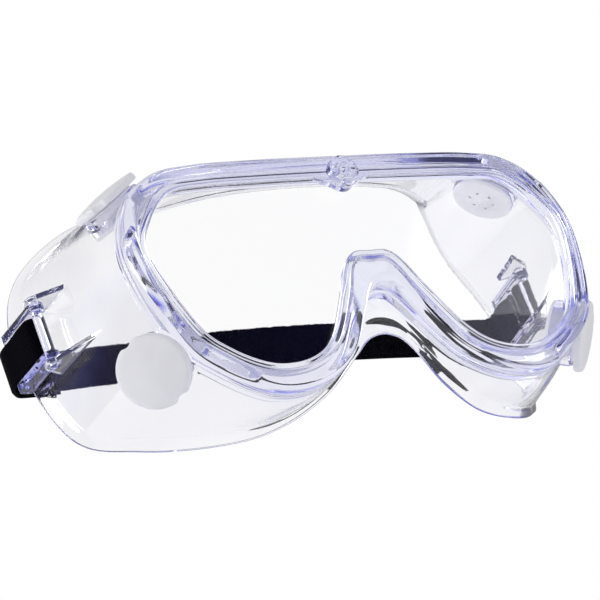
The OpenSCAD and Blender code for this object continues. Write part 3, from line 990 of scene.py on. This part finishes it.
def strap_path():
    """Middle line of the right half: from the centre to and round the buckle."""
    gap = 0.08
    turn = WRAP_BAR_RADIUS + gap + STRAP_THICK / 2
    side = REAR_BAR_RADIUS + gap + STRAP_THICK / 2
    behind = KEEPER_BAR[0] + KEEPER_BAR_RADIUS + 0.2 + STRAP_THICK / 2
    outer = WRAP_BAR[0] + turn
    seam = Vector((SEAM_X, band_y(SEAM_X)))
    points = [Vector((x, band_y(x))) for x in range(0, 73, 6)]
    rear = REAR_BAR[1]
    points += [seam + Vector((5, 0.5)), from_pivot(-4.6, 23.7), from_pivot(-2.3, 22.6),
               from_pivot(-1.6, 21.2), from_pivot(-side, rear + 2.8), from_pivot(-side, rear - 2),
               from_pivot(behind, 9), from_pivot(behind, 7.3)]
    points += [from_pivot(WRAP_BAR[0] + turn * math.cos(a), WRAP_BAR[1] - turn * math.sin(a))
               for a in [math.radians(210 - 21 * k) for k in range(11)]]
    points += [from_pivot(outer, 9), from_pivot(side, rear - 2), from_pivot(side, rear + 3),
               from_pivot(1.1, 21.8), from_pivot(-0.7, 23.9), from_pivot(-3.6, 25.5),
               seam + Vector((5, 2.4)), seam + Vector((0, 1.9))]
    return points


def resample(points, spacing):
    """A smooth curve through points, cut into even steps."""
    dense = []
    ends = [points[0] * 2 - points[1]] + points + [points[-1] * 2 - points[-2]]
    for i in range(1, len(ends) - 2):
        a, b, c, d = ends[i - 1], ends[i], ends[i + 1], ends[i + 2]
        for s in range(12):
            t = s / 12
            dense.append(0.5 * (2 * b + (c - a) * t + (2 * a - 5 * b + 4 * c - d) * t * t
                                + (3 * b - a - 3 * c + d) * t ** 3))
    dense.append(points[-1])
    out, travelled, target = [dense[0]], 0.0, spacing
    for p, q in zip(dense, dense[1:]):
        length = (q - p).length
        while travelled + length >= target:
            out.append(p.lerp(q, (target - travelled) / length))
            target += spacing
        travelled += length
    if (out[-1] - dense[-1]).length > spacing * 0.3:
        out.append(dense[-1])
    return out


def strap_profile():
    """Half thickness across the strap's width: ribs between two flat edges."""
    steps = RIBS * 6
    rows = []
    for k in range(steps + 1):
        v = k / steps
        ribs = 0.5 + 0.5 * math.cos(2 * math.pi * v * RIBS + math.pi)
        edge = min(v, 1 - v) * STRAP_WIDTH
        body = STRAP_THICK / 2 * math.sqrt(min(1.0, 0.25 + edge / 0.6))
        dip = RIB_DIP * (1 - ribs) if edge > SELVEDGE else SELVEDGE_DIP
        rows.append(((v - 0.5) * STRAP_WIDTH, body - dip))
    return rows


def build_strap():
    path = resample(strap_path(), PATH_STEP)
    rows = strap_profile()
    size = 2 * len(rows)
    verts, faces, uvs = [], [], []
    distance = 0.0
    for i, p in enumerate(path):
        before, after = path[max(i - 1, 0)], path[min(i + 1, len(path) - 1)]
        tangent = (after - before).normalized()
        if i == 0:
            tangent = Vector((1, 0))
        normal = Vector((-tangent.y, tangent.x))
        if i:
            distance += (p - path[i - 1]).length
        for z, half in rows:
            q = p + normal * half
            verts.append(Vector((q.x, q.y, PIVOT.z + z)))
            uvs.append((distance, z))
        for z, half in reversed(rows):
            q = p - normal * half
            verts.append(Vector((q.x, q.y, PIVOT.z + z)))
            uvs.append((distance, z))
    for i in range(len(path) - 1):
        for k in range(size):
            m = (k + 1) % size
            faces.append((i * size + k, i * size + m, (i + 1) * size + m, (i + 1) * size + k))
    last = (len(path) - 1) * size
    count = len(rows)
    for base in (0, last):
        for k in range(count - 1):
            faces.append((base + k, base + k + 1, base + size - 2 - k, base + size - 1 - k))
    strap = make_object("strap_right_half", verts, faces, 50.0)
    layer = strap.data.uv_layers.new(name="weave")
    for loop in strap.data.loops:
        layer.data[loop.index].uv = uvs[loop.vertex_index]
    strap_left = mirrored(strap, "strap_left_half")
    for hand, piece, sign in (("right", strap, 1), ("left", strap_left, -1)):
        dress(piece, STRAP_BLACK)
        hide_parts("strap_band", "strap_end_" + hand)
        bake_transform(piece)


# ---------------------------------------------------------------- studio
SIDE_LEAN = 0.05
REFLECTED_ROOM = 0.3
GLOW_BEHIND_CAMERA, GLOW_AHEAD = 0.3, 1.1
# Room colours from behind the camera (0) to straight behind the subject (1)
ROOM = [(0.0, (0.5, 0.5, 0.6)), (0.2, (0.55, 0.55, 0.68)), (0.33, (0.3, 0.3, 0.45)),
        (0.42, (0.05, 0.05, 0.16)), (0.49, (0.07, 0.06, 0.38)), (0.54, (0.28, 0.28, 0.92)),
        (0.59, (0.74, 0.78, 1)), (0.63, (1, 1, 1))]
FLOOR_SIZE, FLOOR_DROP = 2.0, 0.0005
FLOOR_PAPER = (0.93, 0.93, 0.94, 1)
# Lamps as name, direction, distance, size and power
LAMPS = [("key", (-1.0, 0.25, 0.35), 1.1, 0.4, 2.8),
         ("fill", (0.9, -0.8, 0.3), 1.2, 0.6, 0.8),
         ("back", (0.1, 1.0, 0.6), 1.2, 0.6, 1.5)]
BOUNCES = 24


def build_world():
    """White straight behind the subject, blue to dark at the sides, grey behind the camera."""
    world = bpy.data.worlds.new("studio")
    SCENE.world = world
    world.use_nodes = True
    tree = world.node_tree
    for node in list(tree.nodes):
        tree.nodes.remove(node)
    out = add(tree, "ShaderNodeOutputWorld")
    coords = add(tree, "ShaderNodeTexCoord")
    unit = add(tree, "ShaderNodeVectorMath", operation="NORMALIZE")
    link(tree, coords, "Camera", unit, 0)
    split = add(tree, "ShaderNodeSeparateXYZ")
    link(tree, unit, 0, split, 0)
    ramp = add(tree, "ShaderNodeValToRGB")
    shift = add(tree, "ShaderNodeMapRange")
    shift.inputs["From Min"].default_value = -1
    shift.inputs["From Max"].default_value = 1
    link(tree, split, "Z", shift, "Value")
    # The blue flag hangs on the left, so that side turns white later
    lean = add(tree, "ShaderNodeMath", operation="MULTIPLY_ADD")
    lean.inputs[1].default_value = SIDE_LEAN
    link(tree, split, "X", lean, 0)
    link(tree, shift, "Result", lean, 2)
    link(tree, lean, 0, ramp, "Fac")
    elements = ramp.color_ramp.elements
    while len(elements) < len(ROOM):
        elements.new(0.5)
    for element, (position, color) in zip(elements, ROOM):
        element.position = position
        element.color = (*color, 1)
    path = add(tree, "ShaderNodeLightPath")
    # Plain reflections see a dimmer room than the light that comes through
    dim = add(tree, "ShaderNodeMapRange")
    dim.inputs["To Min"].default_value = 1.0
    dim.inputs["To Max"].default_value = REFLECTED_ROOM
    mirror_ray = add(tree, "ShaderNodeMath", operation="SUBTRACT", use_clamp=True)
    link(tree, path, "Is Glossy Ray", mirror_ray, 0)
    link(tree, path, "Is Transmission Ray", mirror_ray, 1)
    link(tree, mirror_ray, 0, dim, "Value")
    shaped = add(tree, "ShaderNodeBackground")
    link(tree, ramp, "Color", shaped, "Color")
    link(tree, dim, "Result", shaped, "Strength")
    glow = add(tree, "ShaderNodeMapRange")
    glow.inputs["From Min"].default_value = -1
    glow.inputs["From Max"].default_value = 1
    glow.inputs["To Min"].default_value = GLOW_BEHIND_CAMERA
    glow.inputs["To Max"].default_value = GLOW_AHEAD
    link(tree, split, "Z", glow, "Value")
    plain = add(tree, "ShaderNodeBackground")
    plain.inputs["Color"].default_value = WHITE
    link(tree, glow, "Result", plain, "Strength")
    camera_white = add(tree, "ShaderNodeBackground", Strength=1.0)
    camera_white.inputs["Color"].default_value = WHITE
    mix_diffuse = add(tree, "ShaderNodeMixShader")
    link(tree, path, "Is Diffuse Ray", mix_diffuse, 0)
    link(tree, shaped, 0, mix_diffuse, 1)
    link(tree, plain, 0, mix_diffuse, 2)
    mix_camera = add(tree, "ShaderNodeMixShader")
    link(tree, path, "Is Camera Ray", mix_camera, 0)
    link(tree, mix_diffuse, 0, mix_camera, 1)
    link(tree, camera_white, 0, mix_camera, 2)
    link(tree, mix_camera, 0, out, "Surface")


def build_floor():
    """A plain pale floor, clear from below, where the main camera stands."""
    low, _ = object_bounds()
    bm = bmesh.new()
    bmesh.ops.create_grid(bm, x_segments=1, y_segments=1, size=FLOOR_SIZE)
    mesh = bpy.data.meshes.new("floor")
    bm.to_mesh(mesh)
    bm.free()
    floor = bpy.data.objects.new("floor", mesh)
    floor.location = (0, 0, low.z - FLOOR_DROP)
    SCENE.collection.objects.link(floor)
    mat, tree = nodes_for("floor_paper")
    out = add(tree, "ShaderNodeOutputMaterial")
    paper = add(tree, "ShaderNodeBsdfPrincipled", Roughness=0.8)
    paper.inputs["Base Color"].default_value = FLOOR_PAPER
    clear = add(tree, "ShaderNodeBsdfTransparent")
    side = add(tree, "ShaderNodeNewGeometry")
    mix = add(tree, "ShaderNodeMixShader")
    link(tree, side, "Backfacing", mix, 0)
    link(tree, paper, 0, mix, 1)
    link(tree, clear, 0, mix, 2)
    link(tree, mix, 0, out, "Surface")
    floor.data.materials.append(mat)


def add_light(name, direction, distance, size, power):
    data = bpy.data.lights.new(name, "AREA")
    data.shape = "DISK"
    data.size = size
    data.energy = power
    lamp = bpy.data.objects.new(name, data)
    lamp.location = Vector(direction).normalized() * distance
    lamp.rotation_mode = "QUATERNION"
    lamp.rotation_quaternion = Vector(direction).to_track_quat("Z", "Y")
    SCENE.collection.objects.link(lamp)


CAMERA_AZIMUTH, CAMERA_ELEVATION, CAMERA_ROLL = -35.7, -25.5, 21.25
CAMERA_DISTANCE = 0.985
FOCAL_LENGTH, SENSOR_WIDTH = 202.5, 36.0
AIM_RIGHT, AIM_UP = -0.0221, -0.0115


def build_camera():
    a, e = math.radians(CAMERA_AZIMUTH), math.radians(CAMERA_ELEVATION)
    back = Vector((math.sin(a) * math.cos(e), -math.cos(a) * math.cos(e), math.sin(e)))
    turn = back.to_track_quat("Z", "Y") @ Quaternion((0, 0, 1), math.radians(-CAMERA_ROLL))
    right, up = turn @ Vector((1, 0, 0)), turn @ Vector((0, 1, 0))
    data = bpy.data.cameras.new("camera")
    data.lens = FOCAL_LENGTH
    data.sensor_width = SENSOR_WIDTH
    camera = bpy.data.objects.new("camera", data)
    camera.rotation_mode = "QUATERNION"
    camera.rotation_quaternion = turn
    camera.location = right * AIM_RIGHT + up * AIM_UP + back * CAMERA_DISTANCE
    SCENE.collection.objects.link(camera)
    SCENE.camera = camera


build_frame()
build_lens()
build_stud()
build_vents()
build_buckle()
build_strap()
build_world()
build_floor()
for lamp_spec in LAMPS:
    add_light(*lamp_spec)
build_camera()
SCENE.view_settings.view_transform = "Standard"
SCENE.cycles.max_bounces = BOUNCES
SCENE.cycles.transmission_bounces = BOUNCES
SCENE.cycles.glossy_bounces = BOUNCES
SCENE.cycles.transparent_max_bounces = BOUNCES
